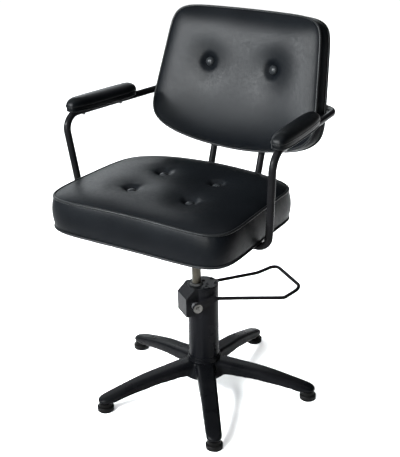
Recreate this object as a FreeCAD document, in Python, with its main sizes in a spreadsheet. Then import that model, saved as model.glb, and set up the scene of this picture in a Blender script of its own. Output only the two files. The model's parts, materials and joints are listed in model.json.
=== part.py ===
import FreeCAD, Part
import math
import os
import Sketcher

# Styling chair: five-arm cast base, foot-pumped hydraulic column, upholstered seat and
# curved back on a frame of bent round tube. Millimetres, +Z up, origin on the floor at
# the column's axis. The sitter looks towards -Y.

doc = FreeCAD.newDocument("styling_chair")
sheet = doc.addObject("Spreadsheet::Sheet", "Sizes")

SIZES = {
    # floor glides and base star
    "glide_circle": 290.0, "glide_radius": 22.75, "glide_height": 24.6, "stud_radius": 4.95,
    "hub_radius": 46.0, "hub_bottom": 50.0, "hub_top": 98.0, "first_arm_angle": -53.2,
    "arm_half_width": 23.2, "arm_edge_round": 7.0, "arm_wall": 6.0,
    # pump housing
    "column_radius": 41.7, "column_bore": 38.0, "housing_top": 312.0, "cap_top": 325.0,
    "collar_radius": 45.5, "collar_top": 112.0, "spigot_radius": 28.0,
    "thread_radius": 16.0, "nut_bottom": 34.0,
    "pump_angle": 55.0, "piston_offset": 18.5, "plunger_offset": 14.2,
    "rod_radius": 12.5, "rod_bottom": 242.0, "rod_top": 520.0,
    "cylinder_outer": 19.2, "cylinder_bore": 16.55, "cylinder_floor": 104.0,
    "guide_radius": 17.0, "guide_bottom": 296.0, "seal_top": 330.0,
    "plunger_radius": 7.0, "barrel_outer": 11.5, "barrel_top": 250.0,
    # pump head and pedal
    "head_half_width": 32.0, "head_back": 62.3, "head_bottom": 247.0, "head_shoulder": 300.0,
    "pivot_out": 37.0, "pivot_height": 278.0, "shaft_radius": 6.9, "shaft_half": 51.8,
    "lever_inner": 43.6, "lever_outer": 51.6, "pedal_rod_radius": 5.1,
    "yoke_inner": 20.6, "yoke_outer": 25.0, "yoke_reach": 52.0, "yoke_rise": 9.0,
    # seat
    "seat_half_width": 251.6, "seat_half_depth": 203.2, "seat_centre": -95.4,
    "seat_exponent": 6.3, "seat_taper": -0.034, "seat_low": 550.0, "seat_high": 625.0,
    "seat_crown": 639.0, "piping_radius": 3.6, "board_thickness": 12.0,
    "seat_button_radius": 11.0,
    # frame of bent tube
    "tube_radius": 9.4, "tube_bore": 7.6, "rail_height": 536.0, "rail_half_gap": 74.0,
    "cross_tube_y": -113.2, "cross_tube_half": 195.0,
    "upright_base_y": 181.9, "upright_slope": 0.345, "upright_top": 880.0,
    "arm_outer_low": 277.5, "arm_corner_x": 300.2, "arm_corner_y": -139.3,
    "arm_corner_z": 783.8, "arm_rear_x": 257.1, "arm_rear_y": 282.5, "arm_rear_z": 770.8,
    "rear_tube_half": 100.0,
    # back
    "back_half_width": 238.3, "back_half_height": 161.2, "back_exponent": 6.8,
    "back_taper": -0.078, "back_centre_y": 241.9, "back_centre_z": 841.1,
    "back_recline": 16.3, "back_curve": 900.0, "back_drop": 35.8, "back_rise": 7.6,
    "back_front": 14.0, "back_depth": 37.0, "back_board_front": 22.0,
    "back_board_rear": 32.0, "back_button_radius": 11.0,
    # arm pads
    "pad_half_length": 121.0, "pad_half_width": 25.5, "pad_low": 5.5,
    "pad_middle_y": 1.0,
}

for row, (alias, value) in enumerate(SIZES.items(), start=1):
    sheet.set("A%d" % row, alias)
    sheet.set("B%d" % row, str(value))
    sheet.setAlias("B%d" % row, alias)
doc.recompute()


def size(alias):
    """One length or angle from the sheet."""
    return float(sheet.get(alias))


Vector = FreeCAD.Vector
Z_AXIS = Vector(0, 0, 1)
CLEARANCE = 0.05
NODES = []


def node(item, name, placement=None):
    """Give a finished sub-part its name and place, and list it for export."""
    item.Label = name
    if placement is not None:
        item.Placement = placement
    NODES.append(item)
    return item


def shaped(name, shape, placement=None):
    """A sub-part whose shape comes straight from Part functions."""
    item = doc.addObject("Part::Feature", name)
    item.Shape = shape
    return node(item, name, placement)


def turned(name, profile, placement=None):
    """A round body: each corner is (radius, height), named from the sheet or worked out."""
    body = doc.addObject("PartDesign::Body", name)
    sketch = body.newObject("Sketcher::SketchObject", name + "_profile")
    plane = [f for f in body.Origin.OriginFeatures if f.Role == "XZ_Plane"][0]
    sketch.AttachmentSupport = (plane, "")
    sketch.MapMode = "FlatFace"
    corners = [tuple(measure(entry) for entry in corner) for corner in profile]
    count = len(corners)
    for index in range(count):
        start = Vector(corners[index][0], corners[index][1], 0)
        end = Vector(corners[(index + 1) % count][0], corners[(index + 1) % count][1], 0)
        sketch.addGeometry(Part.LineSegment(start, end), False)
    for index in range(count):
        following = (index + 1) % count
        sketch.addConstraint(Sketcher.Constraint("Coincident", index, 2, following, 1))
        bind(sketch, index, "DistanceX", profile[index][0], corners[index][0])
        bind(sketch, index, "DistanceY", profile[index][1], corners[index][1])
    revolution = body.newObject("PartDesign::Revolution", name + "_turning")
    revolution.Profile = sketch
    revolution.ReferenceAxis = (sketch, ["V_Axis"])
    revolution.Angle = 360.0
    sketch.Visibility = False
    return node(body, name, placement)


def measure(entry):
    """The number that a profile entry stands for."""
    if isinstance(entry, str):
        return worked_out(entry)
    return float(entry)


def worked_out(words):
    """Value of 'alias', 'alias + number' or 'alias - number'."""
    pieces = words.split()
    total = size(pieces[0])
    if len(pieces) == 3:
        step = float(pieces[2])
        total = total + step if pieces[1] == "+" else total - step
    return total


def bind(sketch, index, kind, entry, value):
    """Hold the start of a line at its distance from the sketch's origin."""
    if value == 0.0:
        axis = -2 if kind == "DistanceX" else -1
        sketch.addConstraint(Sketcher.Constraint("PointOnObject", index, 1, axis))
        return
    number = sketch.addConstraint(Sketcher.Constraint(kind, -1, 1, index, 1, value))
    if isinstance(entry, str):
        pieces = entry.split()
        formula = "Sizes." + pieces[0]
        if len(pieces) == 3:
            formula = "%s %s %s" % (formula, pieces[1], pieces[2])
        sketch.setExpression("Constraints[%d]" % number, formula)


def rod(radius, length, base, direction):
    """A plain cylinder as a shape."""
    return Part.makeCylinder(radius, length, base, direction)


def prism(points, height, direction=Z_AXIS):
    """A straight prism on a closed polygon."""
    face = Part.Face(Part.makePolygon(points + [points[0]]))
    return face.extrude(direction * height)


def rounded_path(points, radii):
    """An open wire through the points, with an arc of the given radius at each corner."""
    edges = []
    start = points[0]
    for index in range(1, len(points) - 1):
        corner = points[index]
        back = (points[index - 1] - corner).normalize()
        ahead = (points[index + 1] - corner).normalize()
        half = back.getAngle(ahead) / 2.0
        reach = radii[index - 1] / math.tan(half)
        first = corner + back * reach
        last = corner + ahead * reach
        centre = corner + (back + ahead).normalize() * (radii[index - 1] / math.sin(half))
        middle = centre + (corner - centre).normalize() * radii[index - 1]
        edges.append(Part.makeLine(start, first))
        edges.append(Part.Arc(first, middle, last).toShape())
        start = last
    edges.append(Part.makeLine(start, points[-1]))
    return Part.Wire(edges)


def swept(path, radius):
    """A round bar along a wire."""
    edge = path.Edges[0]
    start = edge.valueAt(edge.FirstParameter)
    along = edge.tangentAt(edge.FirstParameter)
    ring = Part.Wire(Part.makeCircle(radius, start, along))
    return Part.Wire(path.Edges).makePipeShell([ring], True, False)


def tube(path, outer, bore):
    """A round tube along a wire."""
    return swept(path, outer).cut(swept(path, bore))


def super_outline(half_x, half_y, exponent, taper, count=48):
    """Points of a rounded rectangle given by the superellipse formula."""
    points = []
    for index in range(count):
        angle = 2.0 * math.pi * index / count
        cosine = math.cos(angle)
        sine = math.sin(angle)
        x = half_x * math.copysign(abs(cosine) ** (2.0 / exponent), cosine)
        y = half_y * math.copysign(abs(sine) ** (2.0 / exponent), sine)
        points.append((x * (1.0 + taper * y / half_y), y))
    return points


def closed_curve(points):
    """A smooth closed wire through the points."""
    curve = Part.BSplineCurve()
    curve.interpolate(points, PeriodicFlag=True)
    return Part.Wire(curve.toShape())


# ---------------------------------------------------------------- base star

ARM_COUNT = 5
ARM_TOP = [(20, 98), (60, 96), (110, 88), (160, 80), (210, 68), (245, 58), (275, 49), (318, 34)]
ARM_BOTTOM = [(318, 25.2), (266, 25.2), (250, 30), (215, 38), (180, 44), (150, 50), (80, 56), (20, 56)]


def arm_side(inset):
    """Side view of one arm, drawn in the XZ plane; inset lowers the top for the channel."""
    top = [Vector(r, 0, z - inset) for r, z in ARM_TOP]
    upper = Part.BSplineCurve()
    upper.interpolate(top)
    if inset:
        floor = [top[-1], Vector(top[-1].x, 0, 0), Vector(top[0].x, 0, 0), top[0]]
        return Part.Wire([upper.toShape()] + Part.makePolygon(floor).Edges)
    lower = Part.makePolygon([top[-1]] + [Vector(r, 0, z) for r, z in ARM_BOTTOM] + [top[0]])
    return Part.Wire([upper.toShape()] + lower.Edges)


def arm_plan(narrower, reach):
    """Plan view of one arm: it tapers outwards and ends in a half circle."""
    half = size("arm_half_width") - narrower
    root = half + 3.0
    tip = half - 1.6
    left = Vector(20, root, 0)
    left_end = Vector(reach, tip, 0)
    right_end = Vector(reach, -tip, 0)
    right = Vector(20, -root, 0)
    end = Part.Arc(left_end, Vector(reach + tip, 0, 0), right_end).toShape()
    sides = [Part.makeLine(left, left_end), end, Part.makeLine(right_end, right)]
    return Part.Wire(sides + [Part.makeLine(right, left)])


def arm_shape():
    """One arm lying along +X, rounded on its top edges and hollow below."""
    side = Part.Face(arm_side(0)).extrude(Vector(0, 80, 0))
    side.translate(Vector(0, -40, 0))
    plan = Part.Face(arm_plan(0, size("glide_circle"))).extrude(Vector(0, 0, 120))
    arm = side.common(plan).Solids[0]
    channel_side = Part.Face(arm_side(size("arm_wall"))).extrude(Vector(0, 80, 0))
    channel_side.translate(Vector(0, -40, 0))
    channel_plan = Part.Face(arm_plan(size("arm_wall"), 240.0)).extrude(Vector(0, 0, 120))
    channel_plan = channel_plan.cut(Part.makeBox(50, 80, 130, Vector(0, -40, 0)))
    channel = channel_side.common(channel_plan)
    upper_edges = []
    for edge in arm.Edges:
        middle = edge.valueAt((edge.FirstParameter + edge.LastParameter) / 2.0)
        box = edge.BoundBox
        long_edge = edge.Length > 150 and middle.z > 40
        end_edge = box.XMin > 280 and box.ZLength > 0.5 and box.YLength > 1
        if long_edge or end_edge:
            upper_edges.append(edge)
    return arm.makeFillet(size("arm_edge_round"), upper_edges).cut(channel)


RIM_RADIUS = 60.0
RIM_HEIGHT = 6.0
SKIRT_HEIGHT = 30.0
hub_radius = size("hub_radius")
hub_bottom = size("hub_bottom")
hub_top = size("hub_top")


hub = rod(hub_radius, hub_top - hub_bottom, Vector(0, 0, hub_bottom), Z_AXIS)
rim = rod(RIM_RADIUS, RIM_HEIGHT, Vector(0, 0, hub_bottom), Z_AXIS)
skirt_base = Vector(0, 0, hub_bottom + RIM_HEIGHT)
skirt = Part.makeCone(RIM_RADIUS, hub_radius, SKIRT_HEIGHT, skirt_base, Z_AXIS)
hub = hub.fuse([skirt, rim])
stud_spot = Vector(size("glide_circle"), 0, 0)
arm_reach = Part.makeBox(300, 80, 150, Vector(hub_radius / 2, -40, 0))
skirt_room = Part.makeCone(RIM_RADIUS + CLEARANCE, hub_radius + CLEARANCE, SKIRT_HEIGHT, skirt_base, Z_AXIS)
one_arm = arm_shape().cut(rod(size("stud_radius") + CLEARANCE, 42, stud_spot, Z_AXIS)).common(arm_reach)
one_arm = one_arm.cut(rod(hub_radius + CLEARANCE, 150, Vector(0, 0, 0), Z_AXIS)).cut(skirt_room).Solids[0]
arm_angles = [size("first_arm_angle") + 360.0 / ARM_COUNT * index for index in range(ARM_COUNT)]
hub = hub.cut(rod(size("spigot_radius") + CLEARANCE, 120, Vector(0, 0, 20), Z_AXIS))
shaped("base_hub", hub.removeSplitter())
arms = []
for angle in arm_angles:
    arm = one_arm.copy()
    arm.rotate(Vector(0, 0, 0), Z_AXIS, angle)
    arms.append(arm)
shaped("base_arms", Part.makeCompound(arms))
glide_spots = []
for angle in arm_angles:
    turn = math.radians(angle)
    glide_spots.append(Vector(math.cos(turn), math.sin(turn), 0) * size("glide_circle"))

for index, spot in enumerate(glide_spots, start=1):
    turned("glide_%d" % index, [
        ("stud_radius + 0.05", 6.0), ("stud_radius + 0.05", "glide_height"), (17.0, "glide_height"),
        (17.6, 15.6), ("glide_radius - 1.6", 14.6), ("glide_radius", 12.4), ("glide_radius - 0.4", 2.2),
        ("glide_radius - 2.4", 0.0), (0.0, 0.0), (0.0, 6.0),
    ], FreeCAD.Placement(spot, FreeCAD.Rotation()))

studs = [rod(size("stud_radius"), 35.5, spot + Vector(0, 0, 6.2), Z_AXIS) for spot in glide_spots]
shaped("glide_studs", Part.makeCompound(studs))

# ---------------------------------------------------------------- column

PUMP_TURN = FreeCAD.Rotation(Z_AXIS, size("pump_angle"))
PUMP_PLACE = FreeCAD.Placement(Vector(0, 0, 0), PUMP_TURN)
PISTON_PLACE = FreeCAD.Placement(PUMP_TURN.multVec(Vector(-size("piston_offset"), 0, 0)), PUMP_TURN)
SEAT_PLACE = FreeCAD.Placement(PISTON_PLACE.Base, FreeCAD.Rotation())
PLUNGER_PLACE = FreeCAD.Placement(PUMP_TURN.multVec(Vector(size("plunger_offset"), 0, 0)), PUMP_TURN)
PIVOT = Vector(-size("pivot_out"), 0, size("pivot_height"))
ACROSS = Vector(0, 1, 0)

turned("column_collar", [
    ("column_radius + 0.05", "hub_top + 0.05"), ("collar_radius", "hub_top + 0.05"),
    ("collar_radius", "collar_top - 6.0"), ("collar_radius - 1.5", "collar_top - 5.0"),
    ("collar_radius - 1.5", "collar_top - 1.0"), ("collar_radius - 2.5", "collar_top"),
    ("column_radius + 0.05", "collar_top"),
])

column = rod(size("column_radius"), size("housing_top") - hub_top, Vector(0, 0, hub_top), Z_AXIS)
spigot = rod(size("spigot_radius"), hub_top - hub_bottom - 1.0, Vector(0, 0, hub_bottom + 1.0), Z_AXIS)
THREAD_PAST_NUT = 2.0
thread_length = hub_bottom - size("nut_bottom") + 2 * THREAD_PAST_NUT
thread_end = Vector(0, 0, size("nut_bottom") - THREAD_PAST_NUT)
thread = rod(size("thread_radius"), thread_length, thread_end, Z_AXIS)
floor_height = size("cylinder_floor")
bore = rod(size("column_bore"), 400, Vector(0, 0, floor_height), Z_AXIS)
YOKE_ROOM = size("yoke_outer") + 1.5
CAVITY_BOTTOM = 254.0
CAVITY_TOP = 306.0
window = Part.makeBox(60, 2 * YOKE_ROOM, CAVITY_TOP - CAVITY_BOTTOM, Vector(-60, -YOKE_ROOM, CAVITY_BOTTOM))
shaft_slot = rod(size("shaft_radius") + 1.0, 90, PIVOT - ACROSS * 45, ACROSS)
column = column.fuse([spigot, thread]).cut(bore).cut(window).cut(shaft_slot)
shaped("column_tube", column.removeSplitter(), PUMP_PLACE)

turned("base_washer", [
    ("thread_radius + 0.1", "hub_bottom - 3.55"), ("spigot_radius + 8.0", "hub_bottom - 3.55"),
    ("spigot_radius + 8.0", "hub_bottom - 0.05"), ("thread_radius + 0.1", "hub_bottom - 0.05"),
])

NUT_CORNER = 26.5
nut_points = []
for corner in range(6):
    turn = math.radians(60 * corner)
    nut_points.append(Vector(NUT_CORNER * math.cos(turn), NUT_CORNER * math.sin(turn), size("nut_bottom")))
nut = prism(nut_points, hub_bottom - 3.65 - size("nut_bottom"))
nut = nut.cut(rod(size("thread_radius") + 0.1, 60, Vector(0, 0, 0), Z_AXIS))
shaped("base_nut", nut)

cap = rod(size("column_radius"), size("cap_top") - size("housing_top") - 0.05,
          Vector(0, 0, size("housing_top") + 0.05), Z_AXIS)
top_rims = [edge for edge in cap.Edges if abs(edge.BoundBox.ZMin - size("cap_top")) < 0.01]
cap = cap.makeFillet(2.5, top_rims)
guide_hole = rod(size("guide_radius") + 0.05, 60, Vector(-size("piston_offset"), 0, 290), Z_AXIS)
PLUG_SPOT = Vector(-3.5, -30.9, 0)
SCREW_SPOTS = [Vector(6, 12, 0), Vector(6, -13, 0), Vector(30, 14, 0), Vector(30, -14, 0)]
cap = cap.cut(guide_hole).cut(rod(6.05, 60, PLUG_SPOT + Vector(0, 0, 290), Z_AXIS))
for spot in SCREW_SPOTS:
    cap = cap.cut(rod(2.6, 60, spot + Vector(0, 0, 290), Z_AXIS))
shaped("column_cap", cap, PUMP_PLACE)


def socket_screw(spot, head_low, head_high, head_radius, shank_low, shank_radius):
    """A cap screw that stands upright, with a socket in its head."""
    screw = rod(head_radius, head_high - head_low, spot + Vector(0, 0, head_low), Z_AXIS)
    screw = screw.fuse(rod(shank_radius, head_low - shank_low, spot + Vector(0, 0, shank_low), Z_AXIS))
    return screw.cut(rod(head_radius * 0.5, 2.0, spot + Vector(0, 0, head_high - 1.6), Z_AXIS))


cap_top = size("cap_top")
screws = []
for spot in SCREW_SPOTS:
    screws.append(socket_screw(spot, cap_top + CLEARANCE, cap_top + 2.4, 4.2, cap_top - 14.0, 2.55))
shaped("cap_screws", Part.makeCompound(screws), PUMP_PLACE)

plug = rod(9.5, 3.2, PLUG_SPOT + Vector(0, 0, cap_top + 0.05), Z_AXIS)
plug = plug.fuse(rod(6.0, 11.0, PLUG_SPOT + Vector(0, 0, cap_top - 10.0), Z_AXIS))
plug = plug.cut(rod(4.0, 4.0, PLUG_SPOT + Vector(0, 0, cap_top + 1.2), Z_AXIS))
shaped("filler_plug", plug, PUMP_PLACE)

turned("rod_guide", [
    ("rod_radius + 0.05", "guide_bottom"), ("cylinder_outer - 0.2", "guide_bottom"),
    ("cylinder_outer - 0.2", "housing_top - 0.5"), ("guide_radius", "housing_top - 0.5"),
    ("guide_radius", "cap_top - 0.1"), ("rod_radius + 0.05", "cap_top - 0.1"),
], PISTON_PLACE)

turned("wiper_seal", [
    ("rod_radius + 0.05", "cap_top"), ("guide_radius + 1.0", "cap_top"),
    ("guide_radius + 1.0", "cap_top + 2.0"),
    ("guide_radius - 1.0", "seal_top - 1.0"), ("guide_radius - 2.0", "seal_top"),
    ("rod_radius + 0.05", "seal_top"),
], PISTON_PLACE)

turned("lift_cylinder", [
    ("cylinder_bore", "cylinder_floor + 4.0"), ("cylinder_bore", "guide_bottom - 0.1"),
    ("cylinder_outer", "guide_bottom - 0.1"), ("cylinder_outer", "cylinder_floor + 0.05"),
    (0.0, "cylinder_floor + 0.05"), (0.0, "cylinder_floor + 4.0"),
], PISTON_PLACE)

turned("pump_barrel", [
    ("plunger_radius + 0.05", 150.0), ("plunger_radius + 0.05", "barrel_top"), ("barrel_outer", "barrel_top"),
    ("barrel_outer", "cylinder_floor + 0.05"), (0.0, "cylinder_floor + 0.05"), (0.0, 150.0),
], PLUNGER_PLACE)

turned("pump_plunger", [
    (0.0, 180.0), ("plunger_radius", 180.0), ("plunger_radius", 277.5), (10.0, 277.5), (10.0, 281.0),
    (9.4, 281.6), (0.0, 281.6),
], PLUNGER_PLACE)

# ---------------------------------------------------------------- pump head

head_outline = [(-size("head_back"), size("head_bottom")), (0, size("head_bottom")), (0, 325), (-37.5, 325),
                (-size("head_back"), size("head_shoulder"))]
half_width = size("head_half_width")
head = prism([Vector(x, -half_width, z) for x, z in head_outline], 2 * half_width, ACROSS)
side_edges = [edge for edge in head.Edges if edge.BoundBox.XMax < -36 and edge.BoundBox.YLength < 0.01]
head = head.makeFillet(2.0, side_edges)
head = head.cut(rod(size("column_radius") + 0.05, 120, Vector(0, 0, 230), Z_AXIS))
cavity_outline = [(-57.5, CAVITY_BOTTOM), (0, CAVITY_BOTTOM), (0, CAVITY_TOP), (-49, CAVITY_TOP),
                  (-57.5, 297)]
cavity = prism([Vector(x, -YOKE_ROOM, z) for x, z in cavity_outline], 2 * YOKE_ROOM, ACROSS)
shaft_hole = rod(size("shaft_radius") + 0.05, 160, PIVOT - ACROSS * 80, ACROSS)
head = head.cut(cavity).cut(shaft_hole)
shaped("pump_head", head, PUMP_PLACE)

# ---------------------------------------------------------------- pedal

# Two stub shafts, one each side, so that the lift cylinder stands between them.
shaft_half = size("shaft_half")
yoke_in = size("yoke_inner")
yoke_out = size("yoke_outer")
stubs = []
for side in (1, -1):
    outward = ACROSS * side
    stubs.append(rod(size("shaft_radius"), shaft_half - yoke_in, PIVOT + outward * yoke_in, outward))
shaped("rocker_shaft", Part.makeCompound(stubs), PUMP_PLACE)


def link(first, second, radius_a, radius_b, inner, outer):
    """A flat link between two round ends, lying in the pump's XZ plane."""
    gap = second - first
    tilt = math.atan2(gap.z, gap.x)
    lean = math.acos((radius_a - radius_b) / gap.Length)
    corners = []
    for centre, radius, side in ((first, radius_a, 1), (second, radius_b, 1), (second, radius_b, -1),
                                 (first, radius_a, -1)):
        angle = tilt + side * lean
        out = Vector(math.cos(angle), 0, math.sin(angle)) * radius
        corners.append(Vector(centre.x, inner, centre.z) + out)
    web = prism(corners, outer - inner, ACROSS)
    ends = [rod(radius_a, outer - inner, Vector(first.x, inner, first.z), ACROSS),
            rod(radius_b, outer - inner, Vector(second.x, inner, second.z), ACROSS)]
    return web.fuse(ends).removeSplitter()


shaft_cutter = rod(size("shaft_radius") + 0.02, 160, PIVOT - ACROSS * 80, ACROSS)
yoke_rise = size("yoke_rise")
bar_centre = PIVOT + Vector(math.sqrt(size("yoke_reach") ** 2 - yoke_rise ** 2), 0, yoke_rise)
yoke = link(PIVOT, bar_centre, 12.0, 5.0, yoke_in, yoke_out)
yoke = yoke.fuse([link(PIVOT, bar_centre, 12.0, 5.0, -yoke_out, -yoke_in),
                  rod(5.0, 2 * yoke_out, bar_centre - ACROSS * yoke_out, ACROSS)])
shaped("rocker_yoke", yoke.cut(shaft_cutter).removeSplitter(), PUMP_PLACE)

LEVER_END = Vector(14, 0, 296)
lever_in = size("lever_inner")
lever_out = size("lever_outer")
pedal_rod = size("pedal_rod_radius")
pedal_points = [
    Vector(12, -47.6, 295.6), Vector(36, -52.4, 294.0), Vector(202, -84, 275), Vector(257, -76, 292),
    Vector(257, 76, 292), Vector(202, 84, 275), Vector(36, 52.4, 294.0), Vector(12, 47.6, 295.6),
]
pedal = swept(rounded_path(pedal_points, [40, 30, 24, 24, 30, 40]), pedal_rod)
for side, low, high in (("left", lever_in, lever_out), ("right", -lever_out, -lever_in)):
    lever = link(PIVOT, LEVER_END, 12.5, 7.5, low, high)
    lever = lever.cut(shaft_cutter).cut(pedal)
    shaped("pedal_lever_" + side, lever.Solids[0], PUMP_PLACE)
shaped("pedal_loop", pedal, PUMP_PLACE)

spacers = []
for low in (half_width + 0.3, -lever_in + 0.1):
    ring = rod(10.5, lever_in - half_width - 0.4, PIVOT + ACROSS * low, ACROSS)
    spacers.append(ring.cut(shaft_cutter))
shaped("shaft_spacers", Part.makeCompound(spacers), PUMP_PLACE)

discs = []
bolts = []
for side in (1, -1):
    outward = ACROSS * side
    disc = rod(12.5, 2.2, PIVOT + outward * (shaft_half + 0.05), outward)
    disc = disc.cut(rod(3.1, 20, PIVOT + outward * (shaft_half - 5), outward))
    discs.append(disc)
    bolt = rod(5.2, 3.4, PIVOT + outward * (shaft_half + 2.3), outward)
    bolts.append(bolt.cut(rod(2.6, 3.0, PIVOT + outward * (shaft_half + 3.8), outward)))
shaped("shaft_discs", Part.makeCompound(discs), PUMP_PLACE)
shaped("shaft_bolts", Part.makeCompound(bolts), PUMP_PLACE)

# ---------------------------------------------------------------- piston

turned("piston_rod", [
    (0.0, "rod_bottom"), (9.0, "rod_bottom"), (9.0, "rod_bottom + 16.0"), ("rod_radius", "rod_bottom + 16.0"),
    ("rod_radius", "rod_top - 2.0"), ("rod_radius - 2.0", "rod_top"), (0.0, "rod_top"),
], PISTON_PLACE)

turned("piston_head", [
    (9.05, "rod_bottom + 0.5"), ("cylinder_bore - 0.05", "rod_bottom + 0.5"),
    ("cylinder_bore - 0.05", "rod_bottom + 5.0"), ("cylinder_bore - 1.5", "rod_bottom + 5.0"),
    ("cylinder_bore - 1.5", "rod_bottom + 10.0"), ("cylinder_bore - 0.05", "rod_bottom + 10.0"),
    ("cylinder_bore - 0.05", "rod_bottom + 15.9"), (9.05, "rod_bottom + 15.9"),
], PISTON_PLACE)

# ---------------------------------------------------------------- under the seat

tube_radius = size("tube_radius")
rail_z = size("rail_height")
plate_top = rail_z - tube_radius - 0.05
PLATE_THICKNESS = 5.0
turned("swivel_socket", [
    ("rod_radius + 0.05", 466.0), (19.0, 466.0), (20.0, 467.0), (24.0, 505.0), (34.0, 512.0),
    (34.0, plate_top - PLATE_THICKNESS - 0.05), (0.0, plate_top - PLATE_THICKNESS - 0.05),
    (0.0, "rod_top + 0.1"), ("rod_radius + 0.05", "rod_top + 0.1"),
], SEAT_PLACE)

PLATE_X = 170.0
PLATE_Y = 150.0
rail_gap = size("rail_half_gap")
bolt_spots = [Vector(x, y, 0) for x in (-rail_gap, rail_gap) for y in (-60.0, 60.0)]
plate = doc.addObject("PartDesign::Body", "mount_plate")
plate_sketch = plate.newObject("Sketcher::SketchObject", "mount_plate_outline")
plate_plane = [f for f in plate.Origin.OriginFeatures if f.Role == "XY_Plane"][0]
plate_sketch.AttachmentSupport = (plate_plane, "")
plate_sketch.MapMode = "FlatFace"
plate_corners = [Vector(-PLATE_X / 2, -PLATE_Y / 2, 0), Vector(PLATE_X / 2, -PLATE_Y / 2, 0),
                 Vector(PLATE_X / 2, PLATE_Y / 2, 0), Vector(-PLATE_X / 2, PLATE_Y / 2, 0)]
for index in range(4):
    plate_sketch.addGeometry(Part.LineSegment(plate_corners[index], plate_corners[(index + 1) % 4]), False)
for index in range(4):
    plate_sketch.addConstraint(Sketcher.Constraint("Coincident", index, 2, (index + 1) % 4, 1))
for spot in bolt_spots:
    plate_sketch.addGeometry(Part.Circle(spot, Z_AXIS, 3.3), False)
plate_pad = plate.newObject("PartDesign::Pad", "mount_plate_pad")
plate_pad.Profile = plate_sketch
plate_pad.Length = PLATE_THICKNESS
doc.recompute()
upright_edges = ["Edge%d" % number for number, edge in enumerate(plate_pad.Shape.Edges, start=1)
                 if edge.BoundBox.ZLength > 4.9 and abs(edge.BoundBox.XLength) < 0.01
                 and abs(abs(edge.BoundBox.XMin) - PLATE_X / 2) < 0.01]
plate_round = plate.newObject("PartDesign::Fillet", "mount_plate_round")
plate_round.Base = (plate_pad, upright_edges)
plate_round.Radius = 14.0
node(plate, "mount_plate", FreeCAD.Placement(SEAT_PLACE.Base + Vector(0, 0, plate_top - PLATE_THICKNESS),
                                             FreeCAD.Rotation()))

seat_low = size("seat_low")
plate_bolts = []
for spot in bolt_spots:
    head_low = plate_top - PLATE_THICKNESS - 4.05
    bolt = rod(6.0, 4.0, spot + Vector(0, 0, head_low), Z_AXIS)
    bolt = bolt.fuse(rod(3.0, 30.5, spot + Vector(0, 0, head_low + 4.0), Z_AXIS))
    plate_bolts.append(bolt.cut(rod(3.0, 2.5, spot + Vector(0, 0, head_low - 0.1), Z_AXIS)))
shaped("plate_bolts", Part.makeCompound(plate_bolts), SEAT_PLACE)

# ---------------------------------------------------------------- tube frame

tube_bore = size("tube_bore")
cross_y = size("cross_tube_y")
cross_half = size("cross_tube_half")
cross_line = Part.makeLine(Vector(-cross_half, cross_y, rail_z), Vector(cross_half, cross_y, rail_z))
shaped("seat_cross_tube", tube(Part.Wire([cross_line]), tube_radius, tube_bore), SEAT_PLACE)

arm_line_start = Vector(size("arm_corner_x"), size("arm_corner_y"), size("arm_corner_z"))
arm_line_end = Vector(size("arm_rear_x"), size("arm_rear_y"), size("arm_rear_z"))
arm_direction = (arm_line_end - arm_line_start).normalize()
pad_fraction = (size("pad_middle_y") - arm_line_start.y) / arm_direction.y
pad_middle = arm_line_start + arm_direction * pad_fraction
PAD_SCREW_OFFSETS = (-70.0, 70.0)
PAD_PITCH = math.degrees(math.asin(arm_direction.z))
PAD_YAW = math.degrees(math.atan2(-arm_direction.x, arm_direction.y))


def mirrored(points, side):
    """The points on the chair's left (+1) or right (-1) side."""
    return [Vector(point.x * side, point.y, point.z) for point in points]


def pad_place(side):
    """Where an arm pad's own frame lies: Y along the arm, origin on the tube's axis."""
    turn = FreeCAD.Rotation(Z_AXIS, PAD_YAW * side).multiply(FreeCAD.Rotation(Vector(1, 0, 0), PAD_PITCH))
    base = SEAT_PLACE.Base + Vector(pad_middle.x * side, pad_middle.y, pad_middle.z)
    return FreeCAD.Placement(base, turn)


ARM_BENDS = [36.0, 40.0, 45.0]
rear_half = size("rear_tube_half")
rear_y = size("arm_rear_y")
rear_z = size("arm_rear_z")
arm_route = [
    Vector(cross_half + CLEARANCE, cross_y, rail_z), Vector(size("arm_outer_low"), cross_y, rail_z),
    arm_line_start, arm_line_end, Vector(rear_half + CLEARANCE, rear_y, rear_z),
]
arm_rooms = []
for name, side in (("left", 1), ("right", -1)):
    arm_path = rounded_path(mirrored(arm_route, side), ARM_BENDS)
    arm_tube = tube(arm_path, tube_radius, tube_bore)
    arm_rooms.append(swept(arm_path, tube_radius + 2 * CLEARANCE))
    place = pad_place(side)
    for offset in PAD_SCREW_OFFSETS:
        hole = rod(2.6, 40, Vector(0, offset, -20), Z_AXIS)
        hole.Placement = FreeCAD.Placement(place.Base - SEAT_PLACE.Base, place.Rotation)
        arm_tube = arm_tube.cut(hole)
    shaped("arm_tube_" + name, arm_tube, SEAT_PLACE)

rear_line = Part.makeLine(Vector(-rear_half, rear_y, rear_z), Vector(rear_half, rear_y, rear_z))
shaped("rear_cross_tube", tube(Part.Wire([rear_line]), tube_radius, tube_bore), SEAT_PLACE)

slope = size("upright_slope")
upright_top = size("upright_top")
upright_top_y = size("upright_base_y") + slope * (upright_top - rail_z)
lean = math.atan(slope)
BACK_BOLT_HEIGHTS = (725.0, 862.0)


def upright_centre(height):
    """Y of an upright's axis at a height."""
    return size("upright_base_y") + slope * (height - rail_z)


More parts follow.
